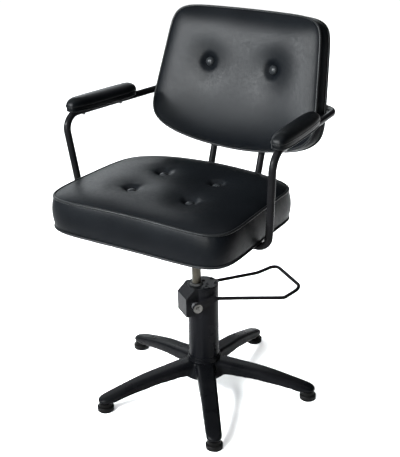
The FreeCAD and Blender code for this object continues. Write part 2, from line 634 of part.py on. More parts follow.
back_turn = FreeCAD.Rotation(Vector(1, 0, 0), -size("back_recline"))
bolt_axis = Vector(0, math.cos(lean), -math.sin(lean))
for name, side in (("left", 1), ("right", -1)):
    route = [Vector(rail_gap, cross_y + tube_radius + CLEARANCE, rail_z),
             Vector(rail_gap, size("upright_base_y"), rail_z), Vector(rail_gap, upright_top_y, upright_top)]
    upright = tube(rounded_path(mirrored(route, side), [45.0]), tube_radius, tube_bore)
    for spot in bolt_spots:
        upright = upright.cut(rod(3.1, 60, spot + Vector(0, 0, 510), Z_AXIS))
    for height in BACK_BOLT_HEIGHTS:
        centre = Vector(rail_gap * side, upright_centre(height), height)
        upright = upright.cut(rod(2.6, 40, centre - bolt_axis * 20, bolt_axis))
    shaped("back_upright_" + name, upright, SEAT_PLACE)

caps = []
top_axis = Vector(0, math.sin(lean), math.cos(lean))
for side in (1, -1):
    top = Vector(rail_gap * side, upright_top_y, upright_top)
    plug_body = rod(tube_radius, 2.5, top + top_axis * 0.05, top_axis)
    caps.append(plug_body.fuse(rod(tube_bore - 0.1, 12.0, top - top_axis * 11.0, top_axis)))
shaped("upright_caps", Part.makeCompound(caps), SEAT_PLACE)

# ---------------------------------------------------------------- seat

piping = size("piping_radius")


def seat_curve(grow, height):
    """Outline of the seat at a height, grown or shrunk all round."""
    points = super_outline(size("seat_half_width") + grow, size("seat_half_depth") + grow,
                           size("seat_exponent"), size("seat_taper"))
    return closed_curve([Vector(x, y + size("seat_centre"), height) for x, y in points])


def slab(curve, height):
    """A flat board on a closed curve."""
    return Part.Face(curve).extrude(Vector(0, 0, height))


board = slab(seat_curve(-8.0, seat_low), size("board_thickness"))
for spot in bolt_spots:
    board = board.cut(rod(3.1, 30, spot + Vector(0, 0, 540), Z_AXIS))
shaped("seat_board", board, SEAT_PLACE)

lining = slab(seat_curve(0.0, seat_low - 1.6), 1.5)
for spot in bolt_spots:
    lining = lining.cut(rod(3.4, 30, spot + Vector(0, 0, 540), Z_AXIS))
shaped("seat_underside", lining, SEAT_PLACE)

CUSHION_STEPS = [(4.0, 0.0), (9.0, 18.0), (8.5, 42.0), (4.5, 62.0), (-1.0, 74.0), (-9.0, 81.0),
                 (-24.0, 86.0)]
cushion = Part.makeLoft([seat_curve(grow, seat_low + rise) for grow, rise in CUSHION_STEPS], True, False)
crown_curves = [seat_curve(-24.0, seat_low + 86.0), seat_curve(-60.0, size("seat_crown"))]
crown = Part.makeLoft(crown_curves, True, True)
cushion = cushion.fuse(crown)
pocket = slab(seat_curve(-7.9, seat_low - 1.0), size("board_thickness") + 1.1)
cushion = cushion.cut(pocket)
SEAT_BUTTONS = [Vector(86, -156, 0), Vector(-86, -156, 0), Vector(80, -22, 0), Vector(-80, -22, 0)]
button_radius = size("seat_button_radius")
BUTTON_LOW = 628.0
seat_buttons = []
for spot in SEAT_BUTTONS:
    cushion = cushion.cut(rod(button_radius + 0.1, 40, spot + Vector(0, 0, BUTTON_LOW), Z_AXIS))
    dome = Part.makeSphere(13.0, spot + Vector(0, 0, BUTTON_LOW - 4.0))
    column_part = rod(button_radius, 20, spot + Vector(0, 0, BUTTON_LOW + 0.1), Z_AXIS)
    seat_buttons.append(dome.common(column_part))
shaped("seat_cushion", cushion, SEAT_PLACE)
shaped("seat_buttons", Part.makeCompound(seat_buttons), SEAT_PLACE)


def cord_ring(curve, radius, normal):
    """A round cord along a closed curve that lies roughly across the normal."""
    edge = curve.Edges[0]
    start = edge.valueAt(edge.FirstParameter)
    along = edge.tangentAt(edge.FirstParameter)
    builder = Part.BRepOffsetAPI.MakePipeShell(curve)
    builder.setBiNormalMode(normal)
    builder.add(Part.Wire(Part.makeCircle(radius, start, along)))
    builder.build()
    builder.makeSolid()
    return builder.shape()


shaped("seat_piping_top", cord_ring(seat_curve(0.0, size("seat_high")), piping, Z_AXIS), SEAT_PLACE)
shaped("seat_piping_bottom", cord_ring(seat_curve(5.0, seat_low), piping, Z_AXIS), SEAT_PLACE)

# ---------------------------------------------------------------- back

back_centre = Vector(0, size("back_centre_y"), size("back_centre_z"))
BACK_PLACE = FreeCAD.Placement(SEAT_PLACE.Base + back_centre, back_turn)
curve_radius = size("back_curve")


def back_outline(grow):
    """Outline of the back as (distance along the curve, height), crowned above and below."""
    outline = []
    half = size("back_half_width") + grow
    high = size("back_half_height") + grow
    for x, z in super_outline(half, high, size("back_exponent"), size("back_taper")):
        arch = 1.0 - (x / half) ** 2
        z = z - size("back_drop") * arch if z < 0 else z + size("back_rise") * arch
        outline.append((x, z))
    return outline


def back_prism(grow):
    """The back's outline carried square to its curve, so that it widens to the rear."""
    ends = []
    for reach in (-80.0, 60.0):
        points = []
        for x, z in back_outline(grow):
            points.append(Vector((curve_radius + reach) * math.tan(x / curve_radius), reach, z))
        ends.append(closed_curve(points))
    return Part.makeLoft(ends, True, True)


def back_layer(grow, front, rear):
    """A curved layer of the back between two depths behind the front seam."""
    height = 600.0
    base = Vector(0, -curve_radius, -height / 2)
    outer = rod(curve_radius + rear, height, base, Z_AXIS)
    inner = rod(curve_radius + front, height, base, Z_AXIS)
    keep = Part.makeBox(700, 300, height, Vector(-350, -200, -height / 2))
    return outer.cut(inner).common(keep).common(back_prism(grow))


def back_curve_at(grow, depth):
    """The back's outline as a closed curve in space, at a depth behind the front seam."""
    points = []
    for x, z in back_outline(grow):
        turn = x / curve_radius
        radius = curve_radius + depth
        points.append(Vector(radius * math.sin(turn), radius * math.cos(turn) - curve_radius, z))
    return closed_curve(points)


def back_bolt_rods(radius, low, high):
    """Rods along the back's bolts, in the back's own frame."""
    rods = []
    for side in (1, -1):
        for height in BACK_BOLT_HEIGHTS:
            centre = Vector(rail_gap * side, upright_centre(height), height)
            rods.append(rod(radius, high - low, centre + bolt_axis * low, bolt_axis))
    return rods


def in_back_frame(shape):
    """The same shape as the back's own frame sees it."""
    moved = shape.copy()
    moved.Placement = FreeCAD.Placement(back_centre, back_turn).inverse()
    return moved


room = in_back_frame(arm_rooms[0].fuse(arm_rooms[1]))
for side in (1, -1):
    groove_start = Vector(rail_gap * side, upright_centre(600), 600)
    room = room.fuse(in_back_frame(rod(tube_radius + CLEARANCE, 340, groove_start, top_axis)))
board_front = size("back_board_front")
board_rear = size("back_board_rear")
back_depth = size("back_depth")
back_shape = back_layer(3.0, -size("back_front") + 8.0, back_depth)
front_pillow = back_layer(-12.0, -size("back_front"), 2.0)
back_shape = back_shape.fuse(front_pillow)
back_shape = back_shape.cut(back_layer(-6.9, board_front - 0.1, back_depth + 20.0)).cut(room)
BACK_BUTTONS = [Vector(96, 0, 34), Vector(-96, 0, 34)]
back_button = size("back_button_radius")
back_buttons = []
for spot in BACK_BUTTONS:
    surface = math.sqrt(curve_radius ** 2 - spot.x ** 2) - curve_radius
    seat_of_button = Vector(spot.x, surface - 10.0, spot.z)
    well = rod(back_button + 2 * CLEARANCE, 60, seat_of_button + ACROSS * 3.0, ACROSS * -1)
    back_shape = back_shape.cut(well)
    dome = Part.makeSphere(12.0, seat_of_button + ACROSS * 4.0)
    back_buttons.append(dome.common(rod(back_button, 30, seat_of_button + ACROSS * 2.9, ACROSS * -1)))
shaped("back_cushion", back_shape, BACK_PLACE)
shaped("back_buttons", Part.makeCompound(back_buttons), BACK_PLACE)

back_board = back_layer(-7.0, board_front, board_rear - 0.1).cut(room)
rear_panel = back_layer(-7.0, board_rear, back_depth - 0.2).cut(room)
for hole in back_bolt_rods(2.65, -45, 5):
    back_board = back_board.cut(in_back_frame(hole))
    rear_panel = rear_panel.cut(in_back_frame(hole))
shaped("back_board", back_board, BACK_PLACE)
shaped("back_rear_panel", rear_panel, BACK_PLACE)
shaped("back_piping_front", cord_ring(back_curve_at(0.0, 0.0), piping, ACROSS), BACK_PLACE)
shaped("back_piping_rear", cord_ring(back_curve_at(3.0, back_depth - 1.0), piping, ACROSS), BACK_PLACE)

back_bolts = []
shanks = back_bolt_rods(2.5, -20.5, tube_radius + 0.1)
heads = back_bolt_rods(5.5, tube_radius + 0.05, tube_radius + 3.4)
sockets = back_bolt_rods(2.4, tube_radius + 1.2, tube_radius + 9.0)
for shank, head_part, socket in zip(shanks, heads, sockets):
    back_bolts.append(shank.fuse(head_part).cut(socket))
shaped("back_bolts", Part.makeCompound(back_bolts), SEAT_PLACE)

# ---------------------------------------------------------------- arm pads

PAD_STEPS = [(0.0, -3.5), (6.0, -0.6), (16.0, 0.0), (24.0, -0.8), (30.0, -4.0), (34.0, -11.0)]


def pad_curve(shrink, height):
    """Plan outline of an arm pad at a height above the tube's axis."""
    points = super_outline(size("pad_half_width") + shrink, size("pad_half_length") + shrink, 3.6, 0.0, 28)
    return closed_curve([Vector(x, y, height) for x, y in points])


for name, side in (("left", 1), ("right", -1)):
    pad_curves = [pad_curve(shrink, size("pad_low") + rise) for rise, shrink in PAD_STEPS]
    pad = Part.makeLoft(pad_curves, True, False)
    base_board = Part.Face(pad_curve(-9.0, tube_radius + 0.1)).extrude(Vector(0, 0, 8.0))
    pad_room = Part.Face(pad_curve(-8.9, tube_radius - 8.0)).extrude(Vector(0, 0, 16.2))
    pad = pad.cut(pad_room).cut(rod(tube_radius + 0.1, 320, Vector(0, -160, 0), ACROSS))
    for offset in PAD_SCREW_OFFSETS:
        base_board = base_board.cut(rod(2.55, 30, Vector(0, offset, 0), Z_AXIS))
    shaped("arm_pad_" + name, pad, pad_place(side))
    shaped("arm_pad_base_" + name, base_board, pad_place(side))

pad_screws = []
for side in (1, -1):
    place = pad_place(side)
    for offset in PAD_SCREW_OFFSETS:
        spot = Vector(0, offset, 0)
        screw = rod(4.5, 2.4, spot + Vector(0, 0, -tube_radius - 2.45), Z_AXIS)
        screw = screw.fuse(rod(2.5, 2 * tube_radius + 6.0, spot + Vector(0, 0, -tube_radius - 0.1), Z_AXIS))
        screw.Placement = FreeCAD.Placement(place.Base - SEAT_PLACE.Base, place.Rotation)
        pad_screws.append(screw)
shaped("arm_pad_screws", Part.makeCompound(pad_screws), SEAT_PLACE)

# ---------------------------------------------------------------- check and write

doc.recompute()
for item in doc.Objects:
    if "Invalid" in item.State or "Error" in item.State:
        raise RuntimeError("%s did not build: %s" % (item.Label, item.State))
os.makedirs("parts", exist_ok=True)
for item in NODES:
    shape = item.Shape
    if shape.isNull() or not shape.isValid():
        raise RuntimeError("%s has no valid shape" % item.Label)
    if not shape.Solids:
        raise RuntimeError("%s has no solid" % item.Label)
for item in NODES:
    item.Shape.exportStep("parts/%s.step" % item.Label)
print("%d nodes written" % len(NODES))
for item in NODES:
    box = item.Shape.BoundBox
    print("%-22s solids %d volume %9.0f  x %7.1f %7.1f  y %7.1f %7.1f  z %6.1f %6.1f" % (
        item.Label, len(item.Shape.Solids), item.Shape.Volume, box.XMin, box.XMax, box.YMin, box.YMax,
        box.ZMin, box.ZMax))
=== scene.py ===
"""Styling chair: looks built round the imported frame. Metres, +Z up, the sitter looks towards -Y."""

import json
import math

import bmesh
import bpy
import numpy as np
from mathutils import Matrix, Vector


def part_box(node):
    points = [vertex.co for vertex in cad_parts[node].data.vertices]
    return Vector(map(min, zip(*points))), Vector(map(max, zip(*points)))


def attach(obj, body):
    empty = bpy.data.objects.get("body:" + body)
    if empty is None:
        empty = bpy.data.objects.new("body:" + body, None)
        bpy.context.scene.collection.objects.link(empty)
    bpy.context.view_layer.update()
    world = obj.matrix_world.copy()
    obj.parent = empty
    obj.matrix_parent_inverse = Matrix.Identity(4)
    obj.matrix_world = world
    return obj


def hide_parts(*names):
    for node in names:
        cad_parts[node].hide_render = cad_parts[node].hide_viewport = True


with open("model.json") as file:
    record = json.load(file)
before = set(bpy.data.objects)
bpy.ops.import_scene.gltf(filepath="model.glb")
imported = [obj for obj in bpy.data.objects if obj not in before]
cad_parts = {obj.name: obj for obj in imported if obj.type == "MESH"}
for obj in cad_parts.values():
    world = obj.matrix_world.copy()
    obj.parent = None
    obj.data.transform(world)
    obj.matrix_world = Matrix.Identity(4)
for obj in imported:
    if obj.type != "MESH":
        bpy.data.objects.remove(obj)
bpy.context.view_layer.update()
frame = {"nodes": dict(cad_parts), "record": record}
nodes = frame["nodes"]

MM = 0.001


# ------------------------------------------------------------------ places taken from the frame

def centre_of(name):
    """Middle of a CAD node's box."""
    low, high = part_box(name)
    return (low + high) / 2


ROD_LOW, ROD_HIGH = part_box("piston_rod")
ROD_CENTRE = (ROD_LOW + ROD_HIGH) / 2
SEAT_X = ROD_CENTRE.x
SEAT_Y = ROD_CENTRE.y

# Seat upholstery, measured from the rod's axis.
SEAT_HALF_X = 251.6 * MM
SEAT_HALF_Y = 203.2 * MM
SEAT_MIDDLE_Y = SEAT_Y - 95.4 * MM
SEAT_EXPONENT = 6.3
SEAT_TAPER = -0.034
SEAT_SEAM_HIGH = centre_of("seat_piping_top").z
SEAT_SEAM_LOW = centre_of("seat_piping_bottom").z
SEAT_CROWN = 16.5 * MM
SEAT_SIDE_BULGE = 6.5 * MM
SEAT_SIDE_HEIGHT = 75.0 * MM
SEAT_ARCH_HIGH = 5.3 * MM
SEAT_ARCH_LOW = -4.2 * MM
FRONT_DROOP = 5.0 * MM
REAR_DROOP = 15.0 * MM
SEAT_LOW_GROW = 1.5 * MM
SEAT_LOW_DROP = 1.2 * MM
LOW_FRONT_DROOP = 7.0 * MM
LOW_REAR_DROOP = 13.0 * MM
SEAT_COLUMNS = 360
SEAT_BUTTON_LEVEL = 625.0 * MM
SEAT_BUTTON_SPOTS = [(86, -156), (-86, -156), (80, -22), (-80, -22)]

# Depth, width, wide pull, its reach, and fold size of the hollow round a button.
SEAT_DIMPLE = (9.5 * MM, 18.0 * MM, 8.5 * MM, 50.0 * MM, 0.30 * MM)
BACK_DIMPLE = (9.0 * MM, 19.0 * MM, 11.0 * MM, 50.0 * MM, 0.0)

# Back upholstery: a curved panel that leans back.
BACK_HALF_X = 238.3 * MM
BACK_HALF_Z = 161.2 * MM
BACK_EXPONENT = 6.8
BACK_TAPER = -0.078
BACK_DROP = 35.8 * MM
BACK_RISE = 7.6 * MM
BACK_RADIUS = 0.900
BACK_LEAN = math.radians(16.3)
BACK_MIDDLE_Y = SEAT_Y + 241.9 * MM
BACK_MIDDLE_Z = 841.1 * MM
BACK_DEPTH = 36.0 * MM
BACK_CROWN = 24.0 * MM
BACK_TOP_EXPONENT = 8.8
BACK_BAND_BULGE = 3.2 * MM
BACK_COLUMNS = 360
BACK_BUTTON_DEPTH = -6.5 * MM
BACK_BUTTON_SPOTS = [(97, 22), (-97, 22)]

BUTTON_RADIUS = 12.0 * MM
BUTTON_HEIGHT = 7.0 * MM
PIPING_RADIUS = 3.3 * MM
COVER_INSET = 1.2 * MM
RIPPLE_STEP = 2.399
CORD_POINTS = 560
TUBE_RADIUS = 9.4 * MM

# Gathers beside the seams, and the slow unevenness of the panels and the seat's side.
GATHER_FADE = 9.0 * MM
PANEL_GATHER = 0.10 * MM
SIDE_GATHER = 0.25 * MM
BAND_GATHER = 0.22 * MM
PAD_GATHER = 0.06 * MM
SEAT_WAVE = 0.8 * MM
SIDE_WAVE = 0.5 * MM
BACK_WAVE = 0.7 * MM

# The two uprights behind the back: half the distance between them, and their line in side view.
RAIL_HALF_GAP = 74.0 * MM
RAIL_SLOPE = 0.345
RAIL_FOOT_Y = SEAT_Y + 181.9 * MM
RAIL_FOOT_Z = 536.0 * MM


# ------------------------------------------------------------------ mesh helpers

def shade_smooth(mesh):
    """Smooth shading over a whole mesh."""
    for polygon in mesh.polygons:
        polygon.use_smooth = True


def mesh_object(name, points, faces):
    """A smooth-shaded object from points and faces, with its normals turned outwards."""
    mesh = bpy.data.meshes.new(name)
    mesh.from_pydata([tuple(point) for point in points], [], faces)
    work = bmesh.new()
    work.from_mesh(mesh)
    bmesh.ops.remove_doubles(work, verts=work.verts, dist=1e-6)
    bmesh.ops.recalc_face_normals(work, faces=work.faces)
    work.to_mesh(mesh)
    work.free()
    shade_smooth(mesh)
    item = bpy.data.objects.new(name, mesh)
    bpy.context.scene.collection.objects.link(item)
    return item


def skin(rings, start_pole=None, end_pole=None, wrap=False):
    """Points and faces of a surface through closed rings that all have the same number of points."""
    rings = np.asarray(rings, float)
    count, size = rings.shape[:2]
    points = [tuple(point) for point in rings.reshape(-1, 3)]
    faces = []
    last = count if wrap else count - 1
    for row in range(last):
        following = (row + 1) % count
        for column in range(size):
            neighbour = (column + 1) % size
            faces.append((row * size + column, row * size + neighbour,
                          following * size + neighbour, following * size + column))
    for pole, row in ((start_pole, 0), (end_pole, count - 1)):
        if pole is None:
            continue
        points.append(tuple(pole))
        tip = len(points) - 1
        for column in range(size):
            faces.append((tip, row * size + column, row * size + (column + 1) % size))
    return points, faces


def super_ring(half_x, half_y, exponent, taper, count, rear_exponent=None):
    """Rounded rectangle by the superellipse formula, evenly spaced; its +Y half may be squarer."""
    fine = np.linspace(0.0, 2.0 * math.pi, 4001)
    cosine, sine = np.cos(fine), np.sin(fine)
    power = 2.0 / np.where(sine > 0.0, rear_exponent or exponent, exponent)
    x = half_x * np.sign(cosine) * np.abs(cosine) ** power
    y = half_y * np.sign(sine) * np.abs(sine) ** power
    x = x * (1.0 + taper * y / half_y)
    length = np.concatenate([[0.0], np.cumsum(np.hypot(np.diff(x), np.diff(y)))])
    even = np.linspace(0.0, length[-1], count, endpoint=False)
    return np.stack([np.interp(even, length, x), np.interp(even, length, y)], axis=1)


def cord_along(name, path, radius, sides=16, ripple=0.015):
    """A round cord along a closed path of points; ripple gathers it slightly, as sewn cord is."""
    path = np.asarray(path, float)
    ahead = np.roll(path, -1, axis=0) - np.roll(path, 1, axis=0)
    ahead /= np.linalg.norm(ahead, axis=1)[:, None]
    normal = np.cross(ahead[0], [0.0, 0.0, 1.0])
    if np.linalg.norm(normal) < 0.1:
        normal = np.cross(ahead[0], [0.0, 1.0, 0.0])
    rings = []
    turns = np.linspace(0.0, 2.0 * math.pi, sides, endpoint=False)
    for index, point in enumerate(path):
        normal = normal - ahead[index] * np.dot(normal, ahead[index])
        normal /= np.linalg.norm(normal)
        side = np.cross(ahead[index], normal)
        size = radius * (1.0 + ripple * math.sin(index * RIPPLE_STEP))
        rings.append(point + size * (np.cos(turns)[:, None] * normal + np.sin(turns)[:, None] * side))
    points, faces = skin(rings, wrap=True)
    return mesh_object(name, points, faces)


def shares(count, power):
    """Shares of the way from a panel's middle to its seam, closer together near the seam."""
    return 1.0 - (1.0 - np.linspace(0.02, 1.0, count)) ** power


def finish_piece(item, body, slot, material, *replaced):
    """Put a piece on its body and give it its material; the slot argument is not used."""
    item.data.materials.clear()
    item.data.materials.append(material)
    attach(item, body)
    if replaced:
        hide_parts(*replaced)
    return item


# ------------------------------------------------------------------ materials

def new_material(name):
    """An empty node material and its main shader."""
    material = bpy.data.materials.new(name)
    material.use_nodes = True
    tree = material.node_tree
    shader = tree.nodes["Principled BSDF"]
    return material, tree, shader


def object_coordinates(tree):
    """Coordinates that stay with the piece, in metres."""
    return tree.nodes.new("ShaderNodeTexCoord").outputs["Object"]


def noise(tree, coordinates, scale, detail=4.0, roughness=0.55):
    """A noise texture's value."""
    node = tree.nodes.new("ShaderNodeTexNoise")
    node.inputs["Scale"].default_value = scale
    node.inputs["Detail"].default_value = detail
    node.inputs["Roughness"].default_value = roughness
    tree.links.new(coordinates, node.inputs["Vector"])
    return node.outputs["Fac"]


def cells(tree, coordinates, scale, feature="DISTANCE_TO_EDGE"):
    """A Voronoi texture's distance."""
    node = tree.nodes.new("ShaderNodeTexVoronoi")
    node.feature = feature
    node.inputs["Scale"].default_value = scale
    tree.links.new(coordinates, node.inputs["Vector"])
    return node.outputs["Distance"]


def ramp(tree, value, stops):
    """A colour ramp over a value: stops are (position, colour)."""
    node = tree.nodes.new("ShaderNodeValToRGB")
    while len(node.color_ramp.elements) < len(stops):
        node.color_ramp.elements.new(0.5)
    for element, (position, colour) in zip(node.color_ramp.elements, stops):
        element.position = position
        element.color = (*colour, 1.0)
    tree.links.new(value, node.inputs["Fac"])
    return node.outputs["Color"]


def spread(tree, value, low, high, from_low=0.3, from_high=0.7):
    """Map a texture's value to a range."""
    node = tree.nodes.new("ShaderNodeMapRange")
    node.inputs["From Min"].default_value = from_low
    node.inputs["From Max"].default_value = from_high
    node.inputs["To Min"].default_value = low
    node.inputs["To Max"].default_value = high
    tree.links.new(value, node.inputs["Value"])
    return node.outputs["Result"]


def bump(tree, height, strength, distance, before=None):
    """A bump node, on top of an earlier one where there is one."""
    node = tree.nodes.new("ShaderNodeBump")
    node.inputs["Strength"].default_value = strength
    node.inputs["Distance"].default_value = distance
    tree.links.new(height, node.inputs["Height"])
    if before is not None:
        tree.links.new(before, node.inputs["Normal"])
    return node.outputs["Normal"]


def worn_edges(tree, base, worn, low, high):
    """Mix a colour towards a worn one where the surface is convex."""
    geometry = tree.nodes.new("ShaderNodeNewGeometry")
    mask = spread(tree, geometry.outputs["Pointiness"], 0.0, 1.0, low, high)
    mix = tree.nodes.new("ShaderNodeMix")
    mix.data_type = "RGBA"
    tree.links.new(mask, mix.inputs["Factor"])
    tree.links.new(base, mix.inputs["A"])
    mix.inputs["B"].default_value = (*worn, 1.0)
    return mix.outputs["Result"]


def leather(name, dark, light, gloss_low, gloss_high, grain=0.22):
    """Black upholstery leather: pebbled grain, soft creases, uneven polish and faint edge wear."""
    material, tree, shader = new_material(name)
    place = object_coordinates(tree)
    patches = noise(tree, place, 9.0, 3.0)
    pebbles = cells(tree, place, 620.0)
    fine = noise(tree, place, 1500.0, 3.0, 0.6)
    creases = noise(tree, place, 42.0, 6.0, 0.62)
    colour = ramp(tree, patches, [(0.3, dark), (0.7, light)])
    worn = tuple(channel * 1.4 + 0.0004 for channel in light)
    tree.links.new(worn_edges(tree, colour, worn, 0.57, 0.70), shader.inputs["Base Color"])
    polish = noise(tree, place, 130.0, 4.0, 0.6)
    tree.links.new(spread(tree, polish, gloss_low, gloss_high), shader.inputs["Roughness"])
    normal = bump(tree, pebbles, grain, 0.35 * MM)
    normal = bump(tree, fine, grain * 0.5, 0.12 * MM, normal)
    normal = bump(tree, creases, 0.12, 0.5 * MM, normal)
    tree.links.new(normal, shader.inputs["Normal"])
    shader.inputs["Specular IOR Level"].default_value = 0.035
    return material


def painted(name, dark, light, gloss_low, gloss_high, orange_peel, worn=(0.0030, 0.0030, 0.0034)):
    """Black paint or powder coat over metal: orange peel, uneven gloss and rubbed edges."""
    material, tree, shader = new_material(name)
    place = object_coordinates(tree)
    patches = noise(tree, place, 14.0, 4.0)
    peel = noise(tree, place, 420.0, 2.0, 0.5)
    specks = noise(tree, place, 1400.0, 2.0, 0.5)
    colour = ramp(tree, patches, [(0.3, dark), (0.7, light)])
    tree.links.new(worn_edges(tree, colour, worn, 0.56, 0.7), shader.inputs["Base Color"])
    tree.links.new(spread(tree, patches, gloss_low, gloss_high), shader.inputs["Roughness"])
    normal = bump(tree, peel, orange_peel, 0.12 * MM)
    normal = bump(tree, specks, orange_peel * 0.5, 0.04 * MM, normal)
    tree.links.new(normal, shader.inputs["Normal"])
    shader.inputs["Specular IOR Level"].default_value = 0.02
    return material


def metal(name, dark, light, gloss_low, gloss_high):
    """Bare steel with fine turning marks round its upright axis and dull patches."""
    material, tree, shader = new_material(name)
    place = object_coordinates(tree)
    stretch = tree.nodes.new("ShaderNodeMapping")
    stretch.inputs["Scale"].default_value = (60.0, 60.0, 900.0)
    tree.links.new(place, stretch.inputs["Vector"])
    marks = noise(tree, stretch.outputs["Vector"], 1.0, 5.0, 0.7)
    patches = noise(tree, place, 30.0, 4.0)
    tree.links.new(ramp(tree, patches, [(0.3, dark), (0.7, light)]), shader.inputs["Base Color"])
    shader.inputs["Metallic"].default_value = 1.0
    tree.links.new(spread(tree, marks, gloss_low, gloss_high), shader.inputs["Roughness"])
    tree.links.new(bump(tree, marks, 0.12, 0.05 * MM), shader.inputs["Normal"])
    return material


def rubber(name, dark, light):
    """Black moulded rubber with a fine matt skin and dust."""
    material, tree, shader = new_material(name)
    place = object_coordinates(tree)
    dust = noise(tree, place, 60.0, 6.0, 0.65)
    skin_grain = noise(tree, place, 1100.0, 3.0, 0.6)
    tree.links.new(ramp(tree, dust, [(0.35, dark), (0.75, light)]), shader.inputs["Base Color"])
    tree.links.new(spread(tree, dust, 0.42, 0.62), shader.inputs["Roughness"])
    tree.links.new(bump(tree, skin_grain, 0.25, 0.08 * MM), shader.inputs["Normal"])
    shader.inputs["Specular IOR Level"].default_value = 0.03
    return material


def wood(name):
    """Raw plywood with long grain."""
    material, tree, shader = new_material(name)
    place = object_coordinates(tree)
    stretch = tree.nodes.new("ShaderNodeMapping")
    stretch.inputs["Scale"].default_value = (6.0, 90.0, 90.0)
    tree.links.new(place, stretch.inputs["Vector"])
    grain = noise(tree, stretch.outputs["Vector"], 1.0, 6.0, 0.6)
    colours = [(0.3, (0.42, 0.28, 0.15)), (0.7, (0.62, 0.46, 0.28))]
    tree.links.new(ramp(tree, grain, colours), shader.inputs["Base Color"])
    tree.links.new(spread(tree, grain, 0.5, 0.75), shader.inputs["Roughness"])
    tree.links.new(bump(tree, grain, 0.2, 0.2 * MM), shader.inputs["Normal"])
    return material


def lining_cloth(name):
    """Thin black non-woven cloth."""
    material, tree, shader = new_material(name)
    place = object_coordinates(tree)
    fibres = noise(tree, place, 700.0, 8.0, 0.75)
    dots = cells(tree, place, 380.0, "F1")
    tree.links.new(ramp(tree, fibres, [(0.3, (0.012, 0.012, 0.012)), (0.7, (0.035, 0.035, 0.036))]),
                   shader.inputs["Base Color"])
    tree.links.new(spread(tree, fibres, 0.8, 0.98), shader.inputs["Roughness"])
    tree.links.new(bump(tree, dots, 0.35, 0.2 * MM), shader.inputs["Normal"])
    return material


LEATHER = leather("leather_black", (0.0005, 0.0007, 0.0010), (0.0010, 0.0013, 0.0017), 0.36, 0.45)
PAD_LEATHER = leather("leather_pad", (0.0006, 0.0008, 0.0010), (0.0012, 0.0014, 0.0017), 0.34, 0.43)
BUTTON_LEATHER = leather("leather_button", (0.0030, 0.0034, 0.0038), (0.0056, 0.0062, 0.0068), 0.24, 0.34,
                         0.12)
PIPING = leather("leather_piping", (0.0022, 0.0024, 0.0026), (0.0044, 0.0048, 0.0050), 0.28, 0.38, 0.10)
TUBE_PAINT = painted("tube_paint", (0.0016, 0.0016, 0.0018), (0.0030, 0.0030, 0.0032), 0.20, 0.30, 0.10)
CAST_PAINT = painted("cast_paint", (0.0008, 0.0009, 0.0011), (0.0017, 0.0018, 0.0021), 0.24, 0.34, 0.3)
COLUMN_PAINT = painted("column_paint", (0.0006, 0.0007, 0.0010), (0.0012, 0.0013, 0.0017), 0.22, 0.30, 0.15)
ROD_STEEL = metal("rod_steel", (0.022, 0.020, 0.016), (0.042, 0.038, 0.031), 0.28, 0.46)
BRIGHT_STEEL = metal("bright_steel", (0.028, 0.027, 0.025), (0.07, 0.068, 0.064), 0.24, 0.42)
ZINC = metal("zinc_steel", (0.10, 0.10, 0.105), (0.20, 0.20, 0.205), 0.36, 0.52)
BRONZE = metal("guide_bronze", (0.42, 0.30, 0.14), (0.55, 0.42, 0.22), 0.3, 0.45)
GLIDE_RUBBER = rubber("glide_rubber", (0.0007, 0.0007, 0.0007), (0.0020, 0.0020, 0.0019))
SEAL_RUBBER = rubber("seal_rubber", (0.008, 0.008, 0.008), (0.018, 0.018, 0.018))
CAP_PLASTIC = rubber("cap_plastic", (0.012, 0.012, 0.012), (0.02, 0.02, 0.02))
PLYWOOD = wood("plywood")
LINING = lining_cloth("lining")

SLOT_MATERIALS = {
    "cast_paint": CAST_PAINT, "column_paint": COLUMN_PAINT, "tube_paint": TUBE_PAINT,
    "glide_rubber": GLIDE_RUBBER, "seal_rubber": SEAL_RUBBER, "zinc_steel": ZINC,
    "rod_steel": ROD_STEEL, "bright_steel": BRIGHT_STEEL, "guide_bronze": BRONZE,
    "cap_plastic": CAP_PLASTIC, "plywood": PLYWOOD, "lining": LINING, "seat_leather": LEATHER,
    "pad_leather": PAD_LEATHER, "button_leather": BUTTON_LEATHER, "piping_leather": PIPING,
}

for subpart in frame["record"]["subparts"]:
    item = nodes[subpart["node"]]
    item.data.materials.clear()
    item.data.materials.append(SLOT_MATERIALS[subpart["material_slot"]])


# The lid's screws are blackened like the lid.
nodes["cap_screws"].data.materials.clear()
nodes["cap_screws"].data.materials.append(CAST_PAINT)


# ------------------------------------------------------------------ seat cushion

def dimple(x, y, spots, depth, width, pull, reach, fold):
    """How far the cover is pulled in at (x, y) by its buttons: a pit with folds in a wide hollow."""
    total = np.zeros_like(x)
    for spot_x, spot_y in spots:
        away_x, away_y = x - spot_x, y - spot_y
        away = np.hypot(away_x, away_y)
        around = np.arctan2(away_y, away_x)
        total += depth * np.exp(-(away / width) ** 3.2)
        total += pull * np.exp(-(away / reach) ** 1.8)
        folds = np.cos(5.0 * around + spot_x * 60.0) + 0.5 * np.cos(8.0 * around + spot_y * 45.0)
        total += fold * folds * np.exp(-((away - 1.3 * width) / (0.8 * width)) ** 2)
    return total


def seat_outline(grow, count):
    """The seat's outline, grown all round."""
    return super_ring(SEAT_HALF_X + grow, SEAT_HALF_Y + grow, SEAT_EXPONENT, SEAT_TAPER, count)


def across(x):
    """1 at the middle of the seat's width, 0 at its sides."""
    return 1.0 - (x / SEAT_HALF_X) ** 2


def droop(x, y, front=FRONT_DROOP, rear=REAR_DROOP):
    """How much lower a seam lies towards the seat's corners."""
    depth = np.where(y > 0.0, rear, front)
    return depth * (x / SEAT_HALF_X) ** 2 * (np.abs(y) / SEAT_HALF_Y) ** 3


def seam_high(ring):
    """Height of the upper seam over points of its plan."""
    x, y = ring[:, 0], ring[:, 1]
    return SEAT_SEAM_HIGH + SEAT_ARCH_HIGH * across(x) - droop(x, y)


